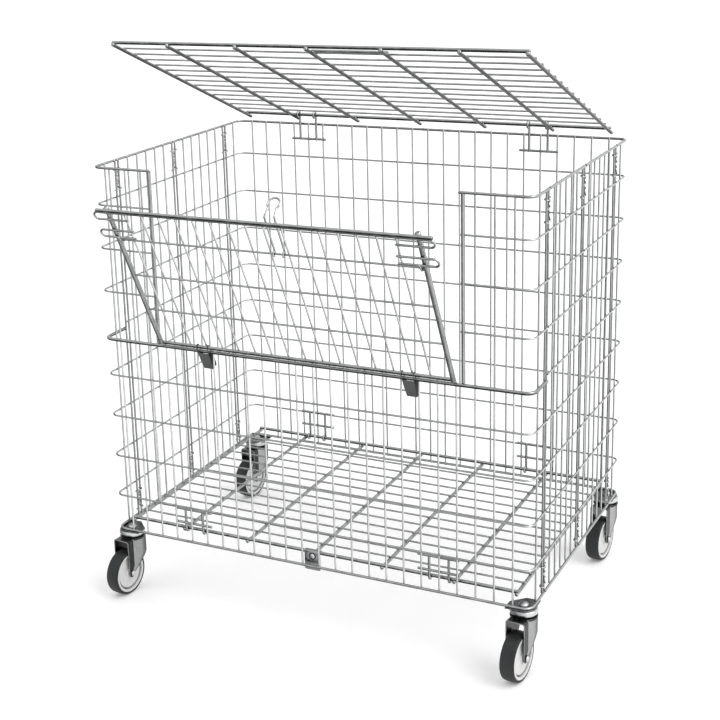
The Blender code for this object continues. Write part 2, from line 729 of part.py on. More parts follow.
def build_lid():
    grid = tray(LID_DEPTH, LID_WIRES, LID_OVERHANG, LID_LOCK_INSET)
    node("lid", grid, ZINC, (0, TRAY_Y, LID_Z), -LID_ANGLE)
    for side, across in SIDES:
        hooks = bracket(across * BRACKET_X, 1, [CAGE_TOP - BRACKET_DROP], LID_Z, EYE_WRAP)
        node(f"lid_bracket_{side}", hooks, ZINC)


def build_floor():
    frame = node("floor", tray(FLOOR_DEPTH, FLOOR_WIRES, BAR_RADIUS, 0), ZINC, (0, TRAY_Y, FLOOR_Z))
    node("floor_plate", floor_plate(), STEEL, parent=frame)
    node("floor_rivet", floor_rivet(), STEEL, parent=frame)
    eye_bars = [FLOOR_Z + rise for rise in EYE_BARS]
    rest_bars = [FLOOR_Z + rise for rise in REST_BARS]
    for side, across in SIDES:
        x = across * BRACKET_X
        node(f"floor_eye_{side}", bracket(x, 1, eye_bars, FLOOR_Z, -EYE_WRAP), ZINC)
        node(f"floor_hook_{side}", bracket(x, -1, rest_bars, FLOOR_Z, -REST_WRAP), ZINC)


def build_castors():
    for end, along in ENDS:
        for side, across in SIDES:
            name = f"{end}_{side}"
            x = across * (HALF_WIDTH - CASTOR_INSET)
            y = along * (HALF_DEPTH - CASTOR_INSET)
            node(f"castor_mount_{name}", castor_mount(across, along), STEEL, (x, y, MOUNT_Z))
            frame = node(f"castor_fork_{name}", fork(), STEEL, (x, y, CROWN_Z), turn=CASTOR_TURN)
            centre = (0, -CASTOR_TRAIL, WHEEL_RADIUS - CROWN_Z)
            node(f"castor_axle_{name}", axle(), STEEL, centre, parent=frame)
            node(f"castor_tyre_{name}", tyre(), RUBBER, centre, parent=frame)
            node(f"castor_hub_{name}", hub(), PLASTIC, centre, parent=frame)


clear()
PARTS = collection("roll_container")
build_cage()
build_hinge_clips()
build_flap()
build_lid()
build_floor()
build_castors()
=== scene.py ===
"""Dresses the roll container: round wire with welds, folded lugs, pressed castors, and their materials."""

import math

import bmesh
import bpy
from mathutils import Matrix, Vector


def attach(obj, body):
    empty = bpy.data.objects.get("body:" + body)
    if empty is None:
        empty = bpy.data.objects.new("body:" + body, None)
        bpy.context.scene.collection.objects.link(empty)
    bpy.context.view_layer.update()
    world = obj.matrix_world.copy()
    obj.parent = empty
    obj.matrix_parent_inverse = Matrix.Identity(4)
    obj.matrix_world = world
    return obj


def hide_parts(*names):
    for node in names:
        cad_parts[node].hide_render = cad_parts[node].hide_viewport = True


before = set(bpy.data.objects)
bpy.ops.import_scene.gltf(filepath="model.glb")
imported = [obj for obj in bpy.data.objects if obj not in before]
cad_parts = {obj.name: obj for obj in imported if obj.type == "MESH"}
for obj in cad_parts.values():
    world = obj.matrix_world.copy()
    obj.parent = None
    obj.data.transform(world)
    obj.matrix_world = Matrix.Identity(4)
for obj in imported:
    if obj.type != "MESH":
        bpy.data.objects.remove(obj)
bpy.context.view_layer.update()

# Cage sizes, as in the solids
HALF_WIDTH = 0.500
HALF_DEPTH = 0.325
CAGE_FOOT = 0.156
CAGE_TOP = 1.009
FIRST_ROW = 0.083
ROW_PITCH = 0.098
THIN_ROWS = 8
WALL_HEIGHT = CAGE_TOP - CAGE_FOOT
ROW_DROPS = [0.0] + [FIRST_ROW + i * ROW_PITCH for i in range(THIN_ROWS)] + [WALL_HEIGHT]
UPRIGHT_PITCH = 0.040
UPRIGHTS = 24
CORNER_RADIUS = 0.020
WING_DEPTH = 0.080
WING_END = HALF_DEPTH - WING_DEPTH
HINGE_SPACING = 0.0125
LEAF_UPRIGHTS = 7
ROW_OVERHANG = 0.0045

# Radii of the wires, and how far they are apart or sunk into each other. Hooks, loops and the catch are
# thicker than in the solids, as they look in the photograph.
WIRE = 0.0021
EDGE = 0.0023
RIM = 0.003
BAR = 0.004
CLIP = 0.0015
HOOK = 0.0029
CATCH = 0.0022
LATCH = 0.0024
GAP = 0.0003
SINK = 0.0006
WELD = 2 * WIRE - SINK
FULL_HEIGHT = (CAGE_FOOT - SINK, CAGE_TOP + SINK)
TUBE_SIDES = 14
CLIP_SIDES = 10
END_CHAMFER = 0.3
BEND_SHARE = 0.49

# The bead of a spot weld, in shares of the wires' radii
BEAD_ROWS = 5
BEAD_SIDES = 10
BEAD_SPREAD = 1.35
BEAD_BULGE = 0.62

# Tones from 0, light, to 1, dark; a painted light brightens a wire as the painted highlight of a weld does
EDGE_SHADE = 0.5
SIDE_SHADE = 0.35
LID_SHADE = 0.85
# The floor's heavy bars are lighter than other heavy bars: a painted light on their tops
FLOOR_PAINTED_LIGHT = 0.45
PLATE_SHADE = 0.35
MOUNT_SHADE = 0.8
WASHER_SHADE = 0.9
NUT_SHADE = 0.2
FRONT_PAINTED_LIGHT = 0.7

# Painted light on the metals: a direction in the world, and the cosines to it between which a face goes from
# painted shade to painted highlight
THIN_PAINTED_LIGHT = ((0.85, -0.40, 0.35), 0.20, 0.85)
HEAVY_PAINTED_LIGHT = ((0.45, -0.25, 0.86), 0.20, 0.85)
REAR_PAINTED_LIGHT = ((-0.62, 0.70, 0.36), 0.65, 1.0)
LEFT_PAINTED_LIGHT = ((-0.95, -0.22, 0.22), 0.85, 1.0)

# Front opening and flap
HINGE_DROP = 0.390
HINGE_Z = CAGE_TOP - HINGE_DROP
POST_ROWS = [drop for drop in ROW_DROPS if drop < HINGE_DROP - ROW_PITCH / 2]
LOWER_ROWS = [drop for drop in ROW_DROPS if drop > HINGE_DROP + ROW_PITCH / 2]
POST_INNER = 0.356
POST_OVERHANG = 0.005
POST_ROW_PAST = 0.001
POST_CLEARANCE = 0.0005
POST_WELD_INSET = 0.002
STUB = 0.005
FLAP_SIDES = {-1: 0.3455, 1: 0.3375}
FLAP_BAR = 0.0055
FLAP_GRID_SHIFT = 0.012
FLAP_HEIGHT = 0.390
FLAP_FOOT = 0.0125
FLAP_RAIL = FLAP_HEIGHT - 0.012
FLAP_TOP_HALF = 0.3685
FLAP_TILT = math.radians(26.9)
FLAP_THIN_ROWS = 3
FLAP_ROWS = [FLAP_HEIGHT - FIRST_ROW - i * ROW_PITCH for i in range(FLAP_THIN_ROWS)]
LUG_X = 0.240
LUG_WIDTH = 0.028
LUG_FOOT_WIDTH = 0.025
LUG_DEPTH = 0.016
LUG_BELOW = 0.045
LUG_BROW = -0.006
LUG_EAR = 0.0064
LUG_WALL = 0.002
LUG_BEND = 0.003
LUG_STEPS = 6
LATCH_REACH = 0.032
LATCH_LOOP = 0.018
LATCH_LENGTH = 0.084
LATCH_RISE = 0.022
LATCH_KNEE = 0.006
LATCH_BEND = 0.004
LATCH_BEAD = (1.6, 1.3, 1.15)
KEEPER_DROP = 0.0155
KEEPER_LENGTH = 0.080
KEEPER_SINK = 0.0011
CATCH_X = 0.028
CATCH_LEGS = 0.022
CATCH_NECK = 0.006
CATCH_REACH = 0.043
CATCH_HEAD = 0.013
CATCH_BEND = 0.006
CATCH_LEAN = math.radians(70)

# Lid and floor
TRAY_Y = HALF_DEPTH - 0.0174
TRAY_HALF = 0.464
TRAY_BARS = (-0.328, -0.164, 0, 0.164, 0.328)
LOCK_BARS = TRAY_BARS[2:4]
LID_Z = CAGE_TOP + 0.026
LID_DEPTH = 0.620
LID_OVERHANG = 0.022
LID_LOCK = 0.030
LID_ANGLE = math.radians(22.5)
FLOOR_Z = CAGE_FOOT + 0.026
FLOOR_DEPTH = 2 * TRAY_Y
TRAY_WIRES = 13
BRACKET_X = 0.297
BRACKET_LEGS = 0.044
BRACKET_BAR = 0.094
LID_BARS = (-0.062,)
LID_WRAP = 250
EYE_BARS = (0.063, 0.028)
EYE_WRAP = -250
REST_BARS = (0.049, 0.016)
REST_WRAP = -150
PLATE_WIDTH = 0.038
PLATE_HEIGHT = 0.045
PLATE_THICKNESS = 0.0015
PLATE_CORNER = 0.004
SHEET_CHAMFER = 0.0003
RIVET_RADIUS = 0.008
RIVET_COLLAR = 0.0006
RIVET_DOME = 0.8 * RIVET_RADIUS
RIVET_HEIGHT = 0.003
RIVET_DROP = 0.012

# Hinge clips: the drop of a ring over one turn, and the twisted run between the rings
CLIP_SPAN = 0.045
CLIP_FROM_RIM = 0.018
CLIP_DROP = 2.6 * CLIP
CLIP_LEAD = 3.2 * CLIP
CLIP_TWISTS = 3
CLIP_SWING = 0.0016
CLIP_SWAY = 1.4
CLIP_STEPS = 40

# Castors
CASTOR_INSET = 0.022
CASTOR_TURN = math.radians(-6)
CASTOR_TRAIL = 0.033
WHEEL_RADIUS = 0.0525
WHEEL_WIDTH = 0.032
HUB_RADIUS = 0.046
FORK_CLEARANCE = 0.003
FORK_WALL = 0.0025
FORK_TOE = 0.010
FORK_HALF = 0.022
FORK_SHOULDER = 0.046
FORK_BEND = 0.004
FORK_FOLD = 0.018
FORK_EDGE = 0.0006
FORK_FOLD_SHARE = 0.4
FORK_REAR_SHARE = 0.6
FORK_CREASE = 0.001
FORK_LEG_STEPS = 14
FORK_TOE_ANGLES = (-84, -66, -48, -30, -15)
FORK_BEND_ANGLES = (22.5, 45, 67.5, 90)
# Painted shade and highlight at each point round the fork's strip: dark front facet, lighter rear facet
# darkening to its edge, light cut edges, dark inside
FORK_PAINTED_LIGHT = [1, 1, 0.45, 0.5, 0.95, 0.2, 0.2, 1, 1, 0.1, 0.1]
SHELF_DROP = 0.002
CORNER_PLATE_LEG = 0.058
CORNER_PLATE_NOSE = 0.030
CUP_HEIGHT = 0.014
MOUNT_PLATE = 0.003
MOUNT_CHAMFER = 0.0006
MOUNT_Z = CAGE_FOOT - RIM - GAP - MOUNT_PLATE / 2
CROWN_Z = MOUNT_Z - MOUNT_PLATE / 2 - CUP_HEIGHT - GAP
AXLE_Z = WHEEL_RADIUS - CROWN_Z
BOLT_RADIUS = 0.011
BOLT_HEIGHT = 0.008
PIN_RADIUS = 0.004
WASHER_RADIUS = 0.0078
WASHER_HEIGHT = 0.0008
NUT_DOME = (0.0061, 0.0034)
NUT_DOME_FOOT = 0.0022
TREAD_DROP = 0.0004
TYRE_CHAMFER = (0.0010, 0.0008)
GROOVE = (0.036, 0.040)

# Turned profiles: radius and height; the hub's is radius and drop, the shoulder's inset and drop
CUP_PROFILE = (
    (0, 0), (0.0262, 0), (0.0282, -0.0010), (0.0292, -0.0026), (0.0296, -0.0050), (0.0295, -0.0080),
    (0.0286, -0.0106), (0.0268, -0.0126), (0.0244, -0.0137), (0.0222, -CUP_HEIGHT), (0, -CUP_HEIGHT),
)
CROWN_PROFILE = (
    (0, 0), (0.0245, 0), (0.0245, -0.0016), (0.0282, -0.0018), (0.029, -0.0026),
    (0.029, -0.0056), (0.0282, -0.0064), (0, -0.0064),
)
NUT_PROFILE = ((0, 0.0028), (0.0070, 0.0028), (0.0074, 0.0024), (0.0074, 0.0004), (0, 0.0004))
HUB_PROFILE = (
    (0.0043, 0), (0.0112, 0), (0.012, 0.0008), (0.0125, 0.0024), (0.0340, 0.0038), (0.0358, 0.0040),
    (0.0366, 0.0078), (0.0394, 0.0078), (0.0402, 0.0012), (0.0414, 0.0002), (0.0450, 0.0002),
    (HUB_RADIUS, 0.0010),
)
TYRE_SHOULDER = ((0.0036, 0), (0.0020, 0.0006), (0.0008, 0.0020), (0.0002, 0.0036), (0, 0.0060))

# Materials: a noise's scale per metre, detail and roughness; a bump's distance and strength
NOISE_RANGE = (0.3, 0.7)
PATCH_NOISE = (4, 0.6)
PATCH_DEPTH = 0.15
# How much lighter a weld is than its wire, on the painted shade and on the painted highlight: a painted
# highlight
WELD_HIGHLIGHT_SHADED = 2.5
WELD_HIGHLIGHT_LIT = 1.4
METAL_GRAIN = (900, 3)
METAL_BUMP = (0.00008, 0.35)
MOTTLE = (35, 5, 0.65)
MOULD_DETAIL = 4
MOULD_STRENGTH = 0.4
# The share of a moulded colour left where the tone is high: a painted shade in the hub's groove
GROOVE_PAINTED_SHADE = 0.3

# Stage and light: the floor and the world are lifted to white where they are seen
FLOOR_HALF = 30
FLOOR_WHITE = 0.96
FLOOR_ROUGHNESS = 0.9
FLOOR_LIFT = 0.12
WORLD_LIGHT = 0.86

# The camera, fitted to wire crossings in the photograph; angles in radians
CAMERA_PLACE = (1.33559, -2.88288, 1.59155)
CAMERA_YAW = 0.48882287
CAMERA_PITCH = 0.27368573
CAMERA_ROLL = -0.03647513
CAMERA_LENS = 72.657
CAMERA_SENSOR = 36
CAMERA_SHIFT = (0.0972, -0.0972)
CAMERA_RANGE = 200

SIDES = (("left", -1), ("right", 1))
ENDS = (("front", -1), ("back", 1))
X = Vector((1, 0, 0))
Y = Vector((0, 1, 0))
Z = Vector((0, 0, 1))
ALONG_X = Matrix(((0, 0, 1, 0), (1, 0, 0, 0), (0, 1, 0, 0), (0, 0, 0, 1)))


class Piece:
    """Gathers tubes, welds and turned shapes into one mesh object, with a weld share (a painted highlight)
    and a tone (in places painted shade) at each point.
    """

    def __init__(self, name):
        self.name = name
        self.points = []
        self.faces = []
        self.weld = []
        self.tone = []
        self.shade = 0.0

    def ring(self, points, weld=0.0, tones=None):
        first = len(self.points)
        self.points += [Vector(p) for p in points]
        self.weld += [weld] * len(points)
        self.tone += tones or [self.shade] * len(points)
        return list(range(first, first + len(points)))

    def bridge(self, lower, upper):
        count = len(lower)
        for i in range(count):
            j = (i + 1) % count
            self.faces.append((lower[i], lower[j], upper[j], upper[i]))

    def skin(self, rings):
        """Joins each ring to the next and closes both ends."""
        for lower, upper in zip(rings, rings[1:]):
            self.bridge(lower, upper)
        self.faces.append(tuple(reversed(rings[0])))
        self.faces.append(tuple(rings[-1]))

    def tube(self, path, radius, sides=TUBE_SIDES, shade=None, painted_light=0.0):
        """A round wire along a path, its ends cut with a small chamfer.

        Without a shade it is darker the heavier it is.
        """
        self.shade = min(1, max(0, (radius - WIRE) / (BAR - WIRE))) if shade is None else shade
        path = [Vector(p) for p in path]
        chamfer = END_CHAMFER * radius
        stations = []
        for before, place, after in zip(path[:1] + path, path, path[1:] + path[-1:]):
            stations.append([place, (after - before).normalized(), radius])
        start, end = stations[0], stations[-1]
        stations.insert(0, [start[0].copy(), start[1], radius - chamfer])
        start[0] = start[0] + start[1] * chamfer
        stations.append([end[0].copy(), end[1], radius - chamfer])
        end[0] = end[0] - end[1] * chamfer
        normal = start[1].orthogonal().normalized()
        rings = []
        for place, direction, reach in stations:
            normal = (normal - direction * normal.dot(direction)).normalized()
            side = direction.cross(normal)
            points = []
            for i in range(sides):
                angle = 2 * math.pi * i / sides
                points.append(place + (normal * math.cos(angle) + side * math.sin(angle)) * reach)
            rings.append(self.ring(points, painted_light))
        self.skin(rings)

    def bead(self, centre, a, b, n, reach_a, reach_b, reach_n):
        """The squeezed bead of a spot weld, as a flattened ball."""
        rings = []
        for i in range(1, BEAD_ROWS):
            polar = math.pi * i / BEAD_ROWS
            points = []
            for j in range(BEAD_SIDES):
                angle = 2 * math.pi * j / BEAD_SIDES
                flat = math.sin(polar)
                offset = a * (reach_a * flat * math.cos(angle)) + b * (reach_b * flat * math.sin(angle))
                points.append(centre + offset + n * (reach_n * math.cos(polar)))
            rings.append(self.ring(points, 1.0))
        for upper, lower in zip(rings, rings[1:]):
            self.bridge(lower, upper)
        top = self.ring([centre + n * reach_n], 1.0)[0]
        foot = self.ring([centre - n * reach_n], 1.0)[0]
        for j in range(BEAD_SIDES):
            k = (j + 1) % BEAD_SIDES
            self.faces.append((rings[0][j], rings[0][k], top))
            self.faces.append((rings[-1][k], rings[-1][j], foot))

    def weld_at(self, first, second, a, b, radius_a, radius_b):
        """A weld between wires whose axes pass through two points, along a and b."""
        first, second = Vector(first), Vector(second)
        n = (second - first).normalized()
        centre = first.lerp(second, radius_a / (radius_a + radius_b))
        bulge = BEAD_BULGE * min(radius_a, radius_b)
        self.bead(centre, a, b, n, BEAD_SPREAD * radius_b, BEAD_SPREAD * radius_a, bulge)

    def turned(self, profile, matrix, steps=48, shades=None):
        """A turned shape about the matrix's Z axis, from (radius, height) points, top to bottom."""
        rings = []
        for place, (radius, height) in enumerate(profile):
            self.shade = shades[place] if shades else self.shade
            if radius == 0:
                rings.append(self.ring([matrix @ Vector((0, 0, height))]))
                continue
            points = []
            for i in range(steps):
                angle = 2 * math.pi * i / steps
                points.append(matrix @ Vector((radius * math.cos(angle), radius * math.sin(angle), height)))
            rings.append(self.ring(points))
        for upper, lower in zip(rings, rings[1:]):
            if len(upper) == 1:
                for i in range(steps):
                    self.faces.append((upper[0], lower[i], lower[(i + 1) % steps]))
            elif len(lower) == 1:
                for i in range(steps):
                    self.faces.append((upper[(i + 1) % steps], upper[i], lower[0]))
            else:
                self.bridge(lower, upper)
        if profile[0][0] > 0 and profile[-1][0] > 0:
            self.bridge(rings[0], rings[-1])

    def move(self, matrix):
        self.points = [matrix @ p for p in self.points]

    def mesh(self):
        made = bpy.data.meshes.new(self.name)
        made.from_pydata([tuple(p) for p in self.points], [], self.faces)
        work = bmesh.new()
        work.from_mesh(made)
        bmesh.ops.recalc_face_normals(work, faces=work.faces)
        work.to_mesh(made)
        work.free()
        for name, values in (("weld", self.weld), ("tone", self.tone)):
            made.attributes.new(name, "FLOAT", "POINT").data.foreach_set("value", values)
        return made

    def place(self, body, finish, slot, *nodes, sharp=40):
        """The finished object, riding on its body in place of its nodes."""
        made = self.mesh()
        made.materials.append(finish)
        made.shade_smooth()
        made.set_sharp_from_angle(angle=math.radians(sharp))
        obj = bpy.data.objects.new(self.name, made)
        bpy.context.scene.collection.objects.link(obj)
        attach(obj, body)
        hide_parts(*nodes)


def arc(across, up, radius, start, end, steps):
    """Points along an arc in a plane; the angles are degrees from the first axis to the second."""
    points = []
    for i in range(steps + 1):
        angle = math.radians(start + (end - start) * i / steps)
        points.append((across + radius * math.cos(angle), up + radius * math.sin(angle)))
    return points


def rounded(path, radius, steps=6):
    """The path with each inner corner bent to a radius."""
    path = [Vector(p) for p in path]
    made = [path[0]]
    for before, corner, after in zip(path, path[1:], path[2:]):
        back, ahead = (before - corner).normalized(), (after - corner).normalized()
        half = back.angle(ahead) / 2
        most = BEND_SHARE * min((before - corner).length, (after - corner).length)
        reach = min(radius / math.tan(half), most)
        start, end = corner + back * reach, corner + ahead * reach
        for i in range(steps + 1):
            t = i / steps
            made.append(start.lerp(corner, t).lerp(corner.lerp(end, t), t))
    made.append(path[-1])
    return made


# Materials

def shader_of(name):
    made = bpy.data.materials.new(name)
    made.use_nodes = True
    return made, made.node_tree, made.node_tree.nodes["Principled BSDF"]


def noise(tree, scale, detail, roughness=0.5):
    place = tree.nodes.new("ShaderNodeTexCoord")
    made = tree.nodes.new("ShaderNodeTexNoise")
    made.inputs["Scale"].default_value = scale
    made.inputs["Detail"].default_value = detail
    made.inputs["Roughness"].default_value = roughness
    tree.links.new(place.outputs["Object"], made.inputs["Vector"])
    return made.outputs["Fac"]


def ranged(tree, source, start, end, low=0.0, high=1.0):
    """The source, stretched from start and end to low and high."""
    made = tree.nodes.new("ShaderNodeMapRange")
    for name, level in (("From Min", start), ("From Max", end), ("To Min", low), ("To Max", high)):
        made.inputs[name].default_value = level
    tree.links.new(source, made.inputs["Value"])
    return made.outputs["Result"]


def spread(tree, source, low, high):
    """A noise pattern, from low to high over the range that most of it lies in."""
    return ranged(tree, source, *NOISE_RANGE, low, high)


def tint(tree, factor, low, high):
    made = tree.nodes.new("ShaderNodeMix")
    made.data_type = "RGBA"
    made.inputs["A"].default_value = (*low, 1)
    made.inputs["B"].default_value = (*high, 1)
    tree.links.new(factor, made.inputs["Factor"])
    return made.outputs["Result"]


def bump(tree, shader, source, distance, strength):
    made = tree.nodes.new("ShaderNodeBump")
    made.inputs["Distance"].default_value = distance
    made.inputs["Strength"].default_value = strength
    tree.links.new(source, made.inputs["Height"])
    tree.links.new(made.outputs["Normal"], shader.inputs["Normal"])


def attribute(tree, name):
    made = tree.nodes.new("ShaderNodeAttribute")
    made.attribute_name = name
    return made.outputs["Fac"]


def mixed(tree, factor, first, second):
    made = tree.nodes.new("ShaderNodeMix")
    made.data_type = "RGBA"
    tree.links.new(factor, made.inputs["Factor"])
    tree.links.new(first, made.inputs["A"])
    tree.links.new(second, made.inputs["B"])
    return made.outputs["Result"]


def grey(level):
    """A zinc grey, very slightly cool."""
    return (0.985 * level, level, 1.01 * level)


def painted_light_band(tree, *lines):
    """Painted light: one where a face is turned along one of the given directions, and nought across them."""
    face = tree.nodes.new("ShaderNodeNewGeometry")
    band = None
    for line, start, end in lines:
        turned = tree.nodes.new("ShaderNodeVectorMath")
        turned.operation = "DOT_PRODUCT"
        turned.inputs[1].default_value = line
        tree.links.new(face.outputs["Normal"], turned.inputs[0])
        made = ranged(tree, turned.outputs["Value"], start, end)
        band = larger(tree, band, made) if band else made
    return band


def larger(tree, first, second):
    made = tree.nodes.new("ShaderNodeMath")
    made.operation = "MAXIMUM"
    tree.links.new(first, made.inputs[0])
    tree.links.new(second, made.inputs[1])
    return made.outputs[0]


def patchy(tree, share, patches):
    """The share, varied by the patches and kept between nought and one."""
    made = tree.nodes.new("ShaderNodeMath")
    made.use_clamp = True
    tree.links.new(share, made.inputs[0])
    tree.links.new(spread(tree, patches, -PATCH_DEPTH, PATCH_DEPTH), made.inputs[1])
    return made.outputs[0]


def metal(name, thin, heavy, rough, scale, metallic=1.0, gloss=0.5):
    """Zinc or bare steel: painted shade to painted highlight round its sides, darker where the tone is high,
    a painted highlight at welds, and patchy.
    """
    made, tree, shader = shader_of(name)
    shader.inputs["Metallic"].default_value = metallic
    shader.inputs["Specular IOR Level"].default_value = gloss
    patches = noise(tree, scale, *PATCH_NOISE)
    share = patchy(tree, painted_light_band(tree, THIN_PAINTED_LIGHT, REAR_PAINTED_LIGHT, LEFT_PAINTED_LIGHT), patches)
    light = tint(tree, share, grey(thin[0]), grey(thin[1]))
    deep = patchy(tree, painted_light_band(tree, HEAVY_PAINTED_LIGHT, REAR_PAINTED_LIGHT, LEFT_PAINTED_LIGHT), patches)
    dark = tint(tree, deep, grey(heavy[0]), grey(heavy[1]))
    plain = mixed(tree, attribute(tree, "tone"), light, dark)
    # Welds, and wires given a painted light, are lighter: a painted highlight
    bead = tint(tree, share, grey(WELD_HIGHLIGHT_SHADED * thin[0]), grey(WELD_HIGHLIGHT_LIT * thin[1]))
    tree.links.new(mixed(tree, attribute(tree, "weld"), plain, bead), shader.inputs["Base Color"])
    tree.links.new(spread(tree, patches, *rough), shader.inputs["Roughness"])
    bump(tree, shader, noise(tree, *METAL_GRAIN), *METAL_BUMP)
    return made


def moulded(name, dark, light, rough, grain, depth, gloss):
    """Rubber or plastic: a slight mottle and a moulded grain, with a painted shade where the tone is high."""
    made, tree, shader = shader_of(name)
    shader.inputs["Metallic"].default_value = 0.0
    shader.inputs["Specular IOR Level"].default_value = gloss
    mottle = noise(tree, *MOTTLE)
    spots = spread(tree, mottle, 0, 1)
    plain = tint(tree, spots, dark, light)
    deep = [tuple(GROOVE_PAINTED_SHADE * level for level in colour) for colour in (dark, light)]
    shaded = tint(tree, spots, *deep)
    tree.links.new(mixed(tree, attribute(tree, "tone"), plain, shaded), shader.inputs["Base Color"])
    tree.links.new(spread(tree, mottle, *rough), shader.inputs["Roughness"])
    bump(tree, shader, noise(tree, grain, MOULD_DETAIL), depth, MOULD_STRENGTH)
    return made


# Each metal's pairs, light tones first and dark tones second, go from the painted shade to the painted
# highlight of its grey
WIRE_ZINC = metal("wire_zinc", (0.08, 0.58), (0.015, 0.40), (0.22, 0.38), 45)
PRESSED = metal("pressed_steel", (0.14, 0.66), (0.012, 0.075), (0.22, 0.38), 60)
DARK_LUG = metal("dark_steel", (0.085, 0.125), (0.003, 0.006), (0.36, 0.55), 110, metallic=0.35, gloss=0.15)
TYRE_RUBBER = moulded(
    "grey_tyre", (0.011, 0.012, 0.013), (0.028, 0.030, 0.031), (0.45, 0.65),
    grain=700, depth=0.0002, gloss=0.3,
)
HUB_PLASTIC = moulded(
    "hub_plastic", (0.62, 0.62, 0.615), (0.72, 0.72, 0.715), (0.38, 0.52),
    grain=600, depth=0.0001, gloss=0.5,
)


# Cage

def row_radius(drop):
    if drop in (0.0, WALL_HEIGHT):
        return RIM
    return BAR if drop == HINGE_DROP else WIRE


def upright_places():
    return [(i - (UPRIGHTS - 1) / 2) * UPRIGHT_PITCH for i in range(UPRIGHTS)]


def corner(across, along, z):
    """The bend of a row at a corner, from the end wall to the wing."""
    bend = arc(HALF_WIDTH - CORNER_RADIUS, HALF_DEPTH - CORNER_RADIUS, CORNER_RADIUS, 90, 0, 10)
    path = bend + [(HALF_WIDTH, WING_END - ROW_OVERHANG)]
    return [(across * x, along * y, z) for x, y in path]


def wall_row(piece, along, drop):
    """A row along an end wall, bent round both corners."""
    z = CAGE_TOP - drop
    piece.tube(list(reversed(corner(-1, along, z))) + corner(1, along, z), row_radius(drop))


def upright(piece, place, seat, ends, drops, radius=WIRE, shade=0.0, painted_light=0.0):
    """A wire at a place in plan, between two heights, welded to rows that pass through the seat."""
    piece.tube([(*place, z) for z in ends], radius, shade=shade, painted_light=painted_light)
    along = X if place[0] == seat[0] else Y
    for drop in drops:
        z = CAGE_TOP - drop
        piece.weld_at((*place, z), (*seat, z), Z, along, WIRE, row_radius(drop))


def wing_uprights(piece, along, drops):
    """The two uprights of each wing, an edge and a thin one."""
    for side in (-1, 1):
        x = side * (HALF_WIDTH - WELD)
        for y, radius, shade in ((WING_END, EDGE, EDGE_SHADE), (WING_END + WING_DEPTH / 2, WIRE, 0)):
            seat = (side * HALF_WIDTH, along * y)
            upright(piece, (x, along * y), seat, FULL_HEIGHT, drops, radius, shade)


def wall_uprights(piece, along, places, ends, drops, painted_light=0.0):
    for x in places:
        seat = (x, along * HALF_DEPTH)
        upright(piece, (x, along * (HALF_DEPTH - WELD)), seat, ends, drops, painted_light=painted_light)


def back_wall():
    piece = Piece("back_wall")
    for drop in ROW_DROPS:
        wall_row(piece, 1, drop)
    wall_uprights(piece, 1, upright_places(), FULL_HEIGHT, ROW_DROPS)
    wing_uprights(piece, 1, ROW_DROPS)
    piece.place("cage", WIRE_ZINC, "zinc_wire", "back_panel", "back_wing_left", "back_wing_right")


def front_wall():
    piece = Piece("front_wall")
    drops = [HINGE_DROP] + LOWER_ROWS
    for drop in drops:
        wall_row(piece, -1, drop)
    wall_uprights(piece, -1, upright_places(), (CAGE_FOOT - SINK, HINGE_Z + STUB), drops, FRONT_PAINTED_LIGHT)
    wing_uprights(piece, -1, POST_ROWS + drops)
    for side in (-1, 1):
        post(piece, side)
    nodes = ["front_panel"] + [f"front_{part}_{side}" for part in ("wing", "post") for side, _ in SIDES]
    piece.place("cage", WIRE_ZINC, "zinc_wire", *nodes)


def post(piece, side):
    """A rod on the hinge bar, the short rows from it round the corner, and their uprights."""
    x, y = side * POST_INNER, -HALF_DEPTH + BAR - RIM
    piece.tube([(x, y, HINGE_Z + BAR + GAP), (x, y, CAGE_TOP)], BAR, shade=SIDE_SHADE)
    clear = POST_INNER - FLAP_SIDES[side] - BAR - FLAP_BAR - POST_CLEARANCE
    for drop in POST_ROWS:
        z = CAGE_TOP - drop
        past = min(POST_ROW_PAST if drop else POST_OVERHANG, clear)
        start = (side * (POST_INNER - BAR - past), -HALF_DEPTH, z)
        piece.tube([start] + corner(side, -1, z), row_radius(drop))
        piece.weld_at((x, y + POST_WELD_INSET, z), (x, -HALF_DEPTH, z), Z, X, BAR, WIRE)
    places = [side * place for place in upright_places() if place > POST_INNER + UPRIGHT_PITCH / 2]
    wall_uprights(piece, -1, places, (HINGE_Z + STUB, CAGE_TOP + SINK), POST_ROWS)


def leaf(end, along, side, across):
    """A flat mesh between a wing and the middle of a side, with an edge at each end."""
    piece = Piece(f"{end}_{side}_leaf")
    outer = WING_END - HINGE_SPACING
    inner = HINGE_SPACING / 2
    pitch = (outer - inner) / (LEAF_UPRIGHTS - 1)
    x = across * (HALF_WIDTH - WELD)
    for i in range(LEAF_UPRIGHTS):
        y = along * (inner + i * pitch)
        radius, shade = (EDGE, EDGE_SHADE) if i in (0, LEAF_UPRIGHTS - 1) else (WIRE, 0)
        upright(piece, (x, y), (across * HALF_WIDTH, y), FULL_HEIGHT, ROW_DROPS, radius, shade)
    reach = WIRE + GAP
    for drop in ROW_DROPS:
        z = CAGE_TOP - drop
        low = (across * HALF_WIDTH, along * (inner - reach), z)
        piece.tube([low, (across * HALF_WIDTH, along * (outer + reach), z)], row_radius(drop))
    piece.place("cage", WIRE_ZINC, "zinc_wire", f"{end}_leaf_{side}")


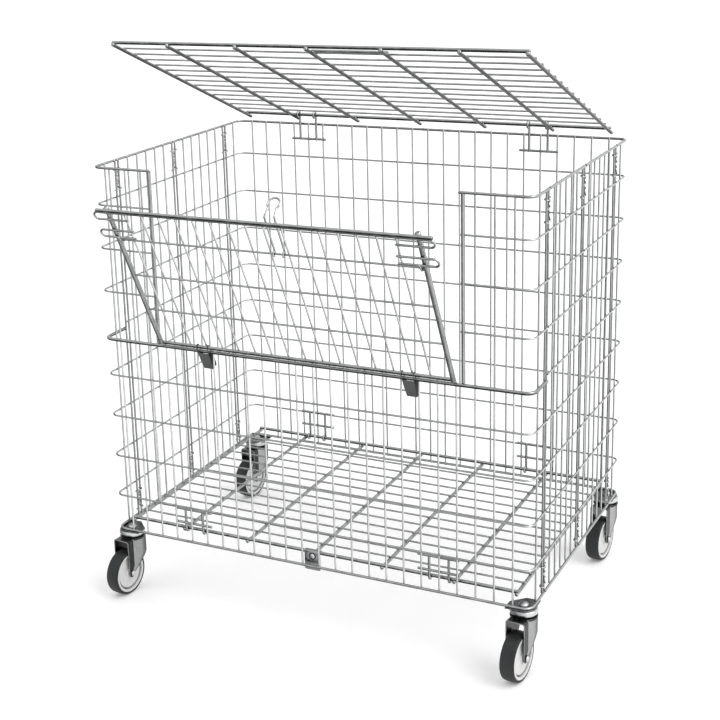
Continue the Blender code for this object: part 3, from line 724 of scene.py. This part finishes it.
def clip(side, across, place, y, level, top):
    """A ring round a pair of uprights, a twisted run down between them, and a second ring."""
    piece = Piece(f"clip_{side}_{place}_{level}")
    x = across * (HALF_WIDTH - WELD)
    reach = WIRE + GAP + CLIP
    half = HINGE_SPACING / 2
    loop = arc(0, half, reach, 0, 180, 8) + arc(0, -half, reach, 180, 360, 8)
    run = []
    for i in range(CLIP_STEPS + 1):
        share = i / CLIP_STEPS
        angle = 2 * math.pi * CLIP_TWISTS * share
        swing = CLIP_SWING * math.sin(math.pi * share)
        out = reach + swing * (math.cos(angle) - 1)
        aside = y + half / 2 + CLIP_SWAY * swing * math.sin(angle)
        run.append((x + across * out, aside, top - CLIP_LEAD - (CLIP_SPAN - 2 * CLIP_LEAD) * share))
    drops = [CLIP_DROP * i / (len(loop) - 1) for i in range(len(loop))]
    rings = []
    for start in (top, top - CLIP_SPAN):
        rings.append([(x + across * out, y + along, start - drop) for (out, along), drop in zip(loop, drops)])
    piece.tube(rings[0] + run + rings[1], CLIP, sides=CLIP_SIDES)
    piece.place("cage", WIRE_ZINC, "zinc_wire", f"hinge_clip_{side}_{place}_{level}")


def cage():
    back_wall()
    front_wall()
    line = WING_END - HINGE_SPACING / 2
    levels = (("top", CAGE_TOP - CLIP_FROM_RIM), ("foot", CAGE_FOOT + CLIP_FROM_RIM + CLIP_SPAN))
    for side, across in SIDES:
        for end, along in ENDS:
            leaf(end, along, side, across)
        for place, y in (("front", -line), ("middle", 0), ("back", line)):
            for level, top in levels:
                clip(side, across, place, y, level, top)


# Lid and floor

def tray(name, depth, overhang, lock, shade):
    """Heavy bars under thin cross wires, hinged on the rear bar at the local origin.

    A lock is how far a short bar stands behind the front bar, or nought.
    """
    piece = Piece(name)
    low = -(BAR + WIRE - SINK)
    xs = sorted(TRAY_BARS + (-TRAY_HALF, TRAY_HALF))
    pitch = depth / (TRAY_WIRES + 1)
    rows = [(0, BAR), (-depth, BAR)] + [(-i * pitch, WIRE) for i in range(1, TRAY_WIRES + 1)]
    for x in xs:
        piece.tube([(x, overhang, low), (x, -depth - BAR, low)], BAR, shade=shade)
        for y, radius in rows:
            piece.weld_at((x, y, low), (x, y, 0), Y, X, BAR, radius)
    end = TRAY_HALF + BAR
    for y, radius in rows:
        piece.tube([(-end, y, 0), (end, y, 0)], radius)
    if lock:
        y = -depth + lock
        piece.tube([(LOCK_BARS[0] - BAR, y, 0), (LOCK_BARS[1] + BAR, y, 0)], RIM)
        for x in LOCK_BARS:
            piece.weld_at((x, y, low), (x, y, 0), Y, X, BAR, RIM)
    return piece


def bracket(name, centre, wall, heights, z, wrap):
    """Short bars against the wall's uprights, with two legs that end in hooks round a tray's bar."""
    piece = Piece(name)
    reach = BAR + HOOK + GAP
    against = wall * (HALF_DEPTH - WELD - WIRE - HOOK + SINK)
    half = BRACKET_BAR / 2
    for height in heights:
        piece.tube([(centre - half, against, z + height), (centre + half, against, z + height)], HOOK)
    past = math.copysign(HOOK, heights[0])
    for side in (-1, 1):
        x = centre + side * BRACKET_LEGS / 2
        hook = [(x, wall * y, height) for y, height in arc(TRAY_Y, z, reach, 0, wrap, 20)]
        piece.tube([(x, hook[0][1], z + heights[0] + past)] + hook, HOOK)
        for height in heights:
            piece.weld_at((x, against, z + height), (x, hook[0][1], z + height), X, Z, HOOK, HOOK)
    return piece


def lid():
    piece = tray("lid_grid", LID_DEPTH, LID_OVERHANG, LID_LOCK, LID_SHADE)
    piece.move(Matrix.Translation((0, TRAY_Y, LID_Z)) @ Matrix.Rotation(-LID_ANGLE, 4, "X"))
    piece.place("lid", WIRE_ZINC, "zinc_wire", "lid")
    for side, across in SIDES:
        made = bracket(f"lid_hook_{side}", across * BRACKET_X, 1, LID_BARS, LID_Z, LID_WRAP)
        made.place("cage", WIRE_ZINC, "zinc_wire", f"lid_bracket_{side}")


def floor_tray():
    piece = tray("floor_grid", FLOOR_DEPTH, BAR, 0, FLOOR_PAINTED_LIGHT)
    piece.move(Matrix.Translation((0, TRAY_Y, FLOOR_Z)))
    piece.place("floor", WIRE_ZINC, "zinc_wire", "floor")
    for side, across in SIDES:
        x = across * BRACKET_X
        eye = bracket(f"floor_eye_wire_{side}", x, 1, EYE_BARS, FLOOR_Z, EYE_WRAP)
        eye.place("cage", WIRE_ZINC, "zinc_wire", f"floor_eye_{side}")
        rest = bracket(f"floor_rest_wire_{side}", x, -1, REST_BARS, FLOOR_Z, REST_WRAP)
        rest.place("cage", WIRE_ZINC, "zinc_wire", f"floor_hook_{side}")


def slab(piece, outline, thickness, matrix, chamfer):
    """A flat outline in XY, with its edges chamfered, thickness along Z."""
    count = len(outline)
    area = sum(outline[i - 1][0] * outline[i][1] - outline[i][0] * outline[i - 1][1] for i in range(count))
    if area < 0:
        outline = list(reversed(outline))
    inset = []
    for i in range(count):
        before, here, after = (Vector(outline[(i + k) % count]) for k in (-1, 0, 1))
        along = ((here - before).normalized() + (after - here).normalized()).normalized()
        inset.append(here + Vector((-along.y, along.x)) * chamfer)
    half = thickness / 2
    layers = ((inset, -half), (outline, -half + chamfer), (outline, half - chamfer), (inset, half))
    piece.skin([piece.ring([matrix @ Vector((p[0], p[1], z)) for p in points]) for points, z in layers])


def dome(radius, height, steps=8):
    """The profile of a domed head, from its top to its edge."""
    angles = [math.pi / 2 * (1 - i / steps) for i in range(1, steps + 1)]
    return [(0, height)] + [(radius * math.cos(a), height * math.sin(a)) for a in angles]


def disc(radius, top, foot):
    """The profile of a flat disc or pin."""
    return [(0, top), (radius, top), (radius, foot), (0, foot)]


def floor_plate():
    """The sheet clip on the floor's front bar: a plate, a lip rolled over the bar, and a domed rivet."""
    bar_y = TRAY_Y - FLOOR_DEPTH
    face = bar_y - BAR - GAP
    half = PLATE_WIDTH / 2
    low = BAR - PLATE_HEIGHT
    piece = Piece("floor_clip_plate")
    piece.shade = PLATE_SHADE
    outline = [(half, 0), (-half, 0)]
    outline += arc(-half + PLATE_CORNER, low + PLATE_CORNER, PLATE_CORNER, 180, 270, 5)
    outline += arc(half - PLATE_CORNER, low + PLATE_CORNER, PLATE_CORNER, 270, 360, 5)
    stand = Matrix.Rotation(math.pi / 2, 4, "X")
    middle = Matrix.Translation((0, face - PLATE_THICKNESS / 2, FLOOR_Z))
    slab(piece, outline, PLATE_THICKNESS, middle @ stand, SHEET_CHAMFER)
    inside = BAR + GAP
    lip = arc(0, 0, inside + PLATE_THICKNESS, 180, 0, 12) + arc(0, 0, inside, 0, 180, 12)
    slab(piece, lip, PLATE_WIDTH, Matrix.Translation((0, bar_y, FLOOR_Z)) @ ALONG_X, SHEET_CHAMFER)
    piece.place("floor", PRESSED, "pressed_zinc", "floor_plate")
    rivet = Piece("floor_clip_rivet")
    seat = Matrix.Translation((0, face - PLATE_THICKNESS - GAP, FLOOR_Z + BAR - RIVET_DROP))
    # The collar round the dome is dark: a painted shadow ring
    rivet.shade = 1.0
    rivet.turned(disc(RIVET_RADIUS, RIVET_COLLAR, 0), seat @ stand, steps=32)
    rivet.shade = 0.0
    rivet.turned(dome(RIVET_DOME, RIVET_HEIGHT) + [(0, 0)], seat @ stand, steps=32)
    rivet.place("floor", PRESSED, "pressed_zinc", "floor_rivet")


# Flap

FLAP_PLACE = Matrix.Translation((0, -HALF_DEPTH, HINGE_Z)) @ Matrix.Rotation(FLAP_TILT, 4, "X")


def flap():
    """The gate's grid on two heavy side bars, with its top bar and the fixed upper loops."""
    piece = Piece("flap_grid")
    front = -(BAR + FLAP_BAR - SINK)
    foot = FLAP_FOOT - BAR
    rows = [(FLAP_FOOT, BAR), (FLAP_RAIL, RIM)] + [(z, WIRE) for z in FLAP_ROWS]
    for z, radius in rows:
        piece.tube([(-FLAP_SIDES[-1], 0, z), (FLAP_SIDES[1], 0, z)], radius)
    piece.tube([(-FLAP_TOP_HALF, front, FLAP_HEIGHT), (FLAP_TOP_HALF, front, FLAP_HEIGHT)], BAR)
    keeper_y = -SINK - (FLAP_BAR + LATCH - KEEPER_SINK)
    for side in (-1, 1):
        x = side * FLAP_SIDES[side]
        piece.tube([(x, -SINK, foot), (x, -SINK, FLAP_HEIGHT + STUB)], FLAP_BAR, shade=SIDE_SHADE)
        piece.weld_at((x, -SINK, FLAP_HEIGHT), (x, front, FLAP_HEIGHT), Z, X, FLAP_BAR, BAR)
        middle = FLAP_HEIGHT - KEEPER_DROP
        loop = [(px, keeper_y, middle + pz) for px, pz in long_loop(side, KEEPER_LENGTH)]
        piece.tube(loop, LATCH)
        for z in (loop[0][2], loop[-1][2]):
            piece.weld_at((x, -SINK, z), (x, keeper_y, z), Z, X, FLAP_BAR, LATCH)
    for x in (place - FLAP_GRID_SHIFT for place in upright_places()):
        if UPRIGHT_PITCH / 2 - FLAP_SIDES[-1] < x < FLAP_SIDES[1] - UPRIGHT_PITCH / 2:
            piece.tube([(x, WELD, foot), (x, WELD, FLAP_RAIL + SINK)], WIRE, painted_light=FRONT_PAINTED_LIGHT)
            for z, radius in rows:
                piece.weld_at((x, WELD, z), (x, 0, z), Z, X, WIRE, radius)
    piece.move(FLAP_PLACE)
    piece.place("flap", WIRE_ZINC, "zinc_wire", "flap")


def long_loop(side, length):
    """A wire bent to a U, its round end past the flap's side bar, about its own middle height."""
    half = LATCH_LOOP / 2
    end = FLAP_SIDES[side] + LATCH_REACH
    path = [(end - length, half)] + arc(end - half, 0, half, 90, -90, 16) + [(end - length, -half)]
    return [(side * x, z) for x, z in path]


def latch(side, across):
    """A long wire loop before the side bar, on a hook round the flap's top row."""
    piece = Piece(f"latch_loop_{side}")
    front = -(FLAP_BAR + LATCH + GAP)
    low = LATCH_RISE - LATCH_LOOP / 2
    piece.tube([(x, front, LATCH_RISE + z) for x, z in long_loop(across, LATCH_LENGTH)], LATCH)
    x = across * (FLAP_SIDES[across] - FLAP_BAR - LATCH - GAP)
    hook = [(x, y, z) for y, z in arc(0, 0, WIRE + LATCH + GAP, 60, -180, 16)]
    shank = rounded([hook[-1], (x, front, LATCH_KNEE), (x, front, low)], LATCH_BEND)
    piece.tube(hook + shank[1:], LATCH)
    piece.bead(Vector((x, front, low)), X, Z, Y, *(share * LATCH for share in LATCH_BEAD))
    piece.move(FLAP_PLACE @ Matrix.Translation((0, 0, FLAP_ROWS[0])))
    piece.place(f"latch_{side}", WIRE_ZINC, "zinc_wire", f"flap_latch_{side}")


def catch():
    """An omega of wire that swings on the flap's top row, its head bent back over the rail."""
    piece = Piece("lid_catch_wire")
    half = CATCH_LEGS / 2
    lean = RIM + CATCH + 2 * GAP
    bend = FLAP_HEIGHT - FLAP_ROWS[0] + CATCH_NECK
    back, up = math.sin(CATCH_LEAN), math.cos(CATCH_LEAN)
    hook = [(-half, y, z) for y, z in arc(0, 0, WIRE + CATCH + GAP, 270, 0, 16)]
    omega = arc(0, CATCH_REACH - CATCH_HEAD, CATCH_HEAD, 225, 90, 12)
    head = [(x, lean + out * back, bend + out * up) for x, out in omega]
    shank = rounded([hook[-1], (-half, lean, bend), head[0], head[1]], CATCH_BEND)
    leg = hook + shank[1:-1] + head[1:]
    piece.tube(leg + [(-x, y, z) for x, y, z in reversed(leg[:-1])], CATCH)
    piece.move(FLAP_PLACE @ Matrix.Translation((CATCH_X, 0, FLAP_ROWS[0])))
    piece.place("lid_catch", WIRE_ZINC, "zinc_wire", "lid_catch")


def lug(side, across):
    """A folded channel with a slanted brow, tapered to its foot, and two eyes round both bars.

    The face is light; the folded cheeks and the inside are dark, a painted shade.
    """
    piece = Piece(f"lug_{side}")
    deep = LUG_DEPTH / 2
    top, foot = LUG_WIDTH / 2, LUG_FOOT_WIDTH / 2
    chamfer = SHEET_CHAMFER
    levels = (
        (LUG_BROW, top - chamfer, -1), (LUG_BROW - chamfer, top, -1), (-LUG_BELOW / 2, top, 0),
        (chamfer - LUG_BELOW, foot, 0), (-LUG_BELOW, foot - chamfer, 0),
    )
    # Painted shade: dark on the cheeks and inside, fading to the light face round the bends
    bends = [1 - i / LUG_STEPS for i in range(LUG_STEPS + 1)]
    tones = [1] + bends + bends[::-1] + [1]
    rings = []
    for z, half, slant in levels:
        middle, fold, within = half - LUG_BEND, -deep + LUG_BEND, LUG_BEND - LUG_WALL
        outside = [(-half, deep)] + arc(-middle, fold, LUG_BEND, 180, 270, LUG_STEPS)
        outside += arc(middle, fold, LUG_BEND, 270, 360, LUG_STEPS) + [(half, deep)]
        inside = [(half - LUG_WALL, deep)] + arc(middle, fold, within, 360, 270, LUG_STEPS)
        inside += arc(-middle, fold, within, 270, 180, LUG_STEPS) + [(-half + LUG_WALL, deep)]
        section = [(x, y, z + slant * y) for x, y in outside + inside]
        rings.append(piece.ring(section, tones=tones + [1] * len(inside)))
    piece.skin(rings[::-1])
    for cheek in (-1, 1):
        near, far = cheek * (top - chamfer), cheek * (top - LUG_WALL + chamfer)
        loops = ((LUG_EAR, near), (BAR + GAP, near), (BAR + GAP, far), (LUG_EAR, far))
        eye = []
        for reach, x in loops:
            link = arc(0, FLAP_FOOT, reach, 0, 180, 10) + arc(0, 0, reach, 180, 360, 10)
            eye.append(piece.ring([(x, y, z) for y, z in link]))
        for first, second in zip(eye, eye[1:] + eye[:1]):
            piece.bridge(first, second)
    piece.move(FLAP_PLACE @ Matrix.Translation((across * LUG_X, 0, 0)))
    piece.place("flap", DARK_LUG, "dark_lug", f"flap_lug_{side}")


# Castors

def castor(end, along, side, across):
    name = f"{end}_{side}"
    x = across * (HALF_WIDTH - CASTOR_INSET)
    y = along * (HALF_DEPTH - CASTOR_INSET)
    mount(name, across, along, Matrix.Translation((x, y, MOUNT_Z)))
    place = Matrix.Translation((x, y, CROWN_Z)) @ Matrix.Rotation(CASTOR_TURN, 4, "Z")
    fork(name, place)
    turn = Matrix.Rotation(math.pi / 2, 4, "Y")
    wheel = place @ Matrix.Translation((0, -CASTOR_TRAIL, AXLE_Z)) @ turn
    axle(name, wheel)
    tyre(name, wheel)
    hub(name, wheel)


def mount(name, across, along, place):
    """The dark corner plate under the foot wire, its domed bolt and the stepped bearing cup."""
    piece = Piece(f"castor_plate_{name}")
    edge = RIM + CASTOR_INSET
    leg, nose, bend = CORNER_PLATE_LEG, CORNER_PLATE_NOSE, CORNER_RADIUS
    outline = arc(bend, bend, bend, 180, 270, 8) + [(leg, 0), (leg, nose), (nose, leg), (0, leg)]
    plan = [(across * (edge - a), along * (edge - b)) for a, b in outline]
    piece.shade = MOUNT_SHADE
    slab(piece, plan, MOUNT_PLATE, place, MOUNT_CHAMFER)
    top = MOUNT_PLATE / 2
    bolt = [(r, top + h) for r, h in dome(BOLT_RADIUS, BOLT_HEIGHT)]
    piece.shade = 0.0
    piece.turned(bolt + [(BOLT_RADIUS, 0), (0, 0)], place, steps=32)
    piece.turned([(r, h - top) for r, h in CUP_PROFILE], place)
    piece.place("cage", PRESSED, "pressed_zinc", f"castor_mount_{name}", sharp=35)


def leg_back(z):
    """Where the rear edge of a fork's leg is at a height: straight, then bulged as it tapers to the axle."""
    share = min(1, max(0, (z - AXLE_Z) / (-FORK_SHOULDER - AXLE_Z)))
    toe = FORK_TOE - CASTOR_TRAIL
    return toe + (FORK_HALF - toe) * (0.5 * share + 0.5 * math.sin(share * math.pi / 2))


def fork(name, place):
    """The pressed fork: one strip bent to a U over the wheel, under a round crown, both with painted shade
    and highlights.
    """
    piece = Piece(f"castor_fork_body_{name}")
    # The crown is dark all over: a painted shade on its top
    piece.shade = 1.0
    piece.turned(CROWN_PROFILE, place)
    middle = WHEEL_WIDTH / 2 + FORK_CLEARANCE + FORK_WALL / 2
    front = -CASTOR_TRAIL - FORK_TOE
    bend_z = -SHELF_DROP - FORK_WALL / 2 - FORK_BEND
    strip = []
    for angle in FORK_TOE_ANGLES:
        reach = FORK_TOE * math.cos(math.radians(angle))
        z = AXLE_Z + FORK_TOE * math.sin(math.radians(angle))
        strip.append((middle, z, 1, 0, -CASTOR_TRAIL - reach, -CASTOR_TRAIL + reach))
    for i in range(FORK_LEG_STEPS + 1):
        z = AXLE_Z + (bend_z - AXLE_Z) * i / FORK_LEG_STEPS
        strip.append((middle, z, 1, 0, front, leg_back(z)))
    for angle in FORK_BEND_ANGLES:
        nx, nz = math.cos(math.radians(angle)), math.sin(math.radians(angle))
        x = middle - FORK_BEND + FORK_BEND * nx
        strip.append((x, bend_z + FORK_BEND * nz, nx, nz, front, FORK_HALF))
    strip += [(-x, z, -nx, nz, low, high) for x, z, nx, nz, low, high in reversed(strip)]
    half, edge = FORK_WALL / 2, FORK_EDGE
    rings = []
    for x, z, nx, nz, low, high in strip:
        fold = low + min(FORK_FOLD, FORK_FOLD_SHARE * (high - low))
        rear = fold + FORK_REAR_SHARE * (high - fold)
        section = [(y, half) for y in (low + edge, fold, fold + FORK_CREASE, rear, high - edge)]
        section += [(high, half - edge), (high, edge - half), (high - edge, -half)]
        section += [(low + edge, -half), (low, edge - half), (low, half - edge)]
        points = [place @ Vector((x + nx * reach, y, z + nz * reach)) for y, reach in section]
        rings.append(piece.ring(points, tones=FORK_PAINTED_LIGHT))
    piece.skin(rings)
    piece.place(f"castor_{name}", PRESSED, "pressed_zinc", f"castor_fork_{name}", sharp=35)


def axle(name, place):
    """The axle bolt: a pin, and on each end a washer and a hexagon under a dome."""
    piece = Piece(f"castor_axle_bolt_{name}")
    inner = WHEEL_WIDTH / 2 + FORK_CLEARANCE + FORK_WALL + GAP
    piece.turned(disc(PIN_RADIUS, inner, -inner), place, steps=24)
    for turn in (Matrix.Identity(4), Matrix.Rotation(math.pi, 4, "X")):
        end = place @ turn @ Matrix.Translation((0, 0, inner))
        piece.shade = WASHER_SHADE
        piece.turned(disc(WASHER_RADIUS, WASHER_HEIGHT, 0), end, steps=32)
        piece.shade = NUT_SHADE
        piece.turned(NUT_PROFILE, end, steps=6)
        piece.shade = 0.0
        cap = [(r, NUT_DOME_FOOT + h) for r, h in dome(*NUT_DOME)]
        piece.turned(cap + [(0, NUT_DOME_FOOT)], end, steps=24)
    piece.place(f"castor_{name}", PRESSED, "pressed_zinc", f"castor_axle_{name}", sharp=30)


def both_sides(face):
    """The profile of a wheel, from that of one of its faces."""
    return face + [(radius, -height) for radius, height in reversed(face)]


def tyre(name, place):
    """A thin solid tyre with a gently domed tread and round shoulders."""
    piece = Piece(f"castor_tyre_ring_{name}")
    half = WHEEL_WIDTH / 2
    inside = HUB_RADIUS + GAP
    edge = WHEEL_RADIUS - TREAD_DROP
    face = [(inside, half - TYRE_CHAMFER[1]), (inside + TYRE_CHAMFER[0], half)]
    face += [(edge - inset, half - drop) for inset, drop in TYRE_SHOULDER]
    face += [(WHEEL_RADIUS, half / 4)]
    piece.turned(both_sides(face), place, steps=72)
    piece.place(f"wheel_{name}", TYRE_RUBBER, "grey_rubber", f"castor_tyre_{name}", sharp=30)


def hub(name, place):
    """A moulded hub: a boss, a dished web, a groove in painted shade and a rim that is flush with the tyre.
    """
    piece = Piece(f"castor_hub_disc_{name}")
    half = WHEEL_WIDTH / 2
    face = [(radius, half - drop) for radius, drop in HUB_PROFILE]
    shades = [1.0 if GROOVE[0] < radius < GROOVE[1] else 0.0 for radius, _ in face]
    piece.turned(both_sides(face), place, steps=64, shades=shades + shades[::-1])
    piece.place(f"wheel_{name}", HUB_PLASTIC, "pale_hub", f"castor_hub_{name}", sharp=25)


cage()
lid()
floor_tray()
floor_plate()
flap()
catch()
for side, across in SIDES:
    latch(side, across)
    lug(side, across)
    for end, along in ENDS:
        castor(end, along, side, across)


# Stage, light and camera

def stage():
    """A white floor and a white world."""
    work = bmesh.new()
    bmesh.ops.create_grid(work, x_segments=1, y_segments=1, size=FLOOR_HALF)
    made = bpy.data.meshes.new("stage_floor")
    work.to_mesh(made)
    work.free()
    ground = bpy.data.objects.new("stage_floor", made)
    bpy.context.scene.collection.objects.link(ground)
    finish, tree, shader = shader_of("stage_white")
    shader.inputs["Base Color"].default_value = (FLOOR_WHITE, FLOOR_WHITE, FLOOR_WHITE, 1)
    shader.inputs["Roughness"].default_value = FLOOR_ROUGHNESS
    shader.inputs["Specular IOR Level"].default_value = 0.0
    shader.inputs["Emission Color"].default_value = (1, 1, 1, 1)
    tree.links.new(seen_level(tree, 0.0, FLOOR_LIFT), shader.inputs["Emission Strength"])
    made.materials.append(finish)
    world = bpy.data.worlds.new("studio")
    bpy.context.scene.world = world
    world.use_nodes = True
    tree = world.node_tree
    background = tree.nodes["Background"]
    tree.links.new(seen_level(tree, WORLD_LIGHT, 1.0), background.inputs["Strength"])
    background.inputs["Color"].default_value = (1, 1, 1, 1)


def seen_level(tree, unseen, seen):
    """One level for what is seen, straight or in a mirror or glass, and another for the light it gives."""
    path = tree.nodes.new("ShaderNodeLightPath")
    rays = path.outputs["Is Camera Ray"]
    for name in ("Is Glossy Ray", "Is Transmission Ray"):
        rays = larger(tree, rays, path.outputs[name])
    return ranged(tree, rays, 0, 1, unseen, seen)


def sun(name, source, strength, angle):
    """A soft sun that shines from the source's direction."""
    data = bpy.data.lights.new(name, "SUN")
    data.energy = strength
    data.angle = math.radians(angle)
    made = bpy.data.objects.new(name, data)
    made.rotation_euler = (-Vector(source)).to_track_quat("-Z", "Y").to_euler()
    bpy.context.scene.collection.objects.link(made)


def camera():
    yaw, pitch, roll = CAMERA_YAW, CAMERA_PITCH, CAMERA_ROLL
    level = math.cos(pitch)
    forward = Vector((-math.sin(yaw) * level, math.cos(yaw) * level, -math.sin(pitch)))
    right = Vector((math.cos(yaw), math.sin(yaw), 0))
    up = right.cross(forward)
    across = math.cos(roll) * right + math.sin(roll) * up
    above = -math.sin(roll) * right + math.cos(roll) * up
    data = bpy.data.cameras.new("camera")
    data.lens = CAMERA_LENS
    data.sensor_width = CAMERA_SENSOR
    data.shift_x, data.shift_y = CAMERA_SHIFT
    data.clip_end = CAMERA_RANGE
    made = bpy.data.objects.new("camera", data)
    turn = Matrix((across, above, -forward)).transposed()
    made.matrix_world = Matrix.Translation(CAMERA_PLACE) @ turn.to_4x4()
    bpy.context.scene.collection.objects.link(made)
    bpy.context.scene.camera = made


stage()
sun("key", (0.66, -0.05, 0.75), strength=1.2, angle=40)
sun("fill", (-0.61, -0.61, 0.51), strength=0.3, angle=60)
camera()
bpy.context.scene.view_settings.view_transform = "Standard"

bpy.context.view_layer.update()
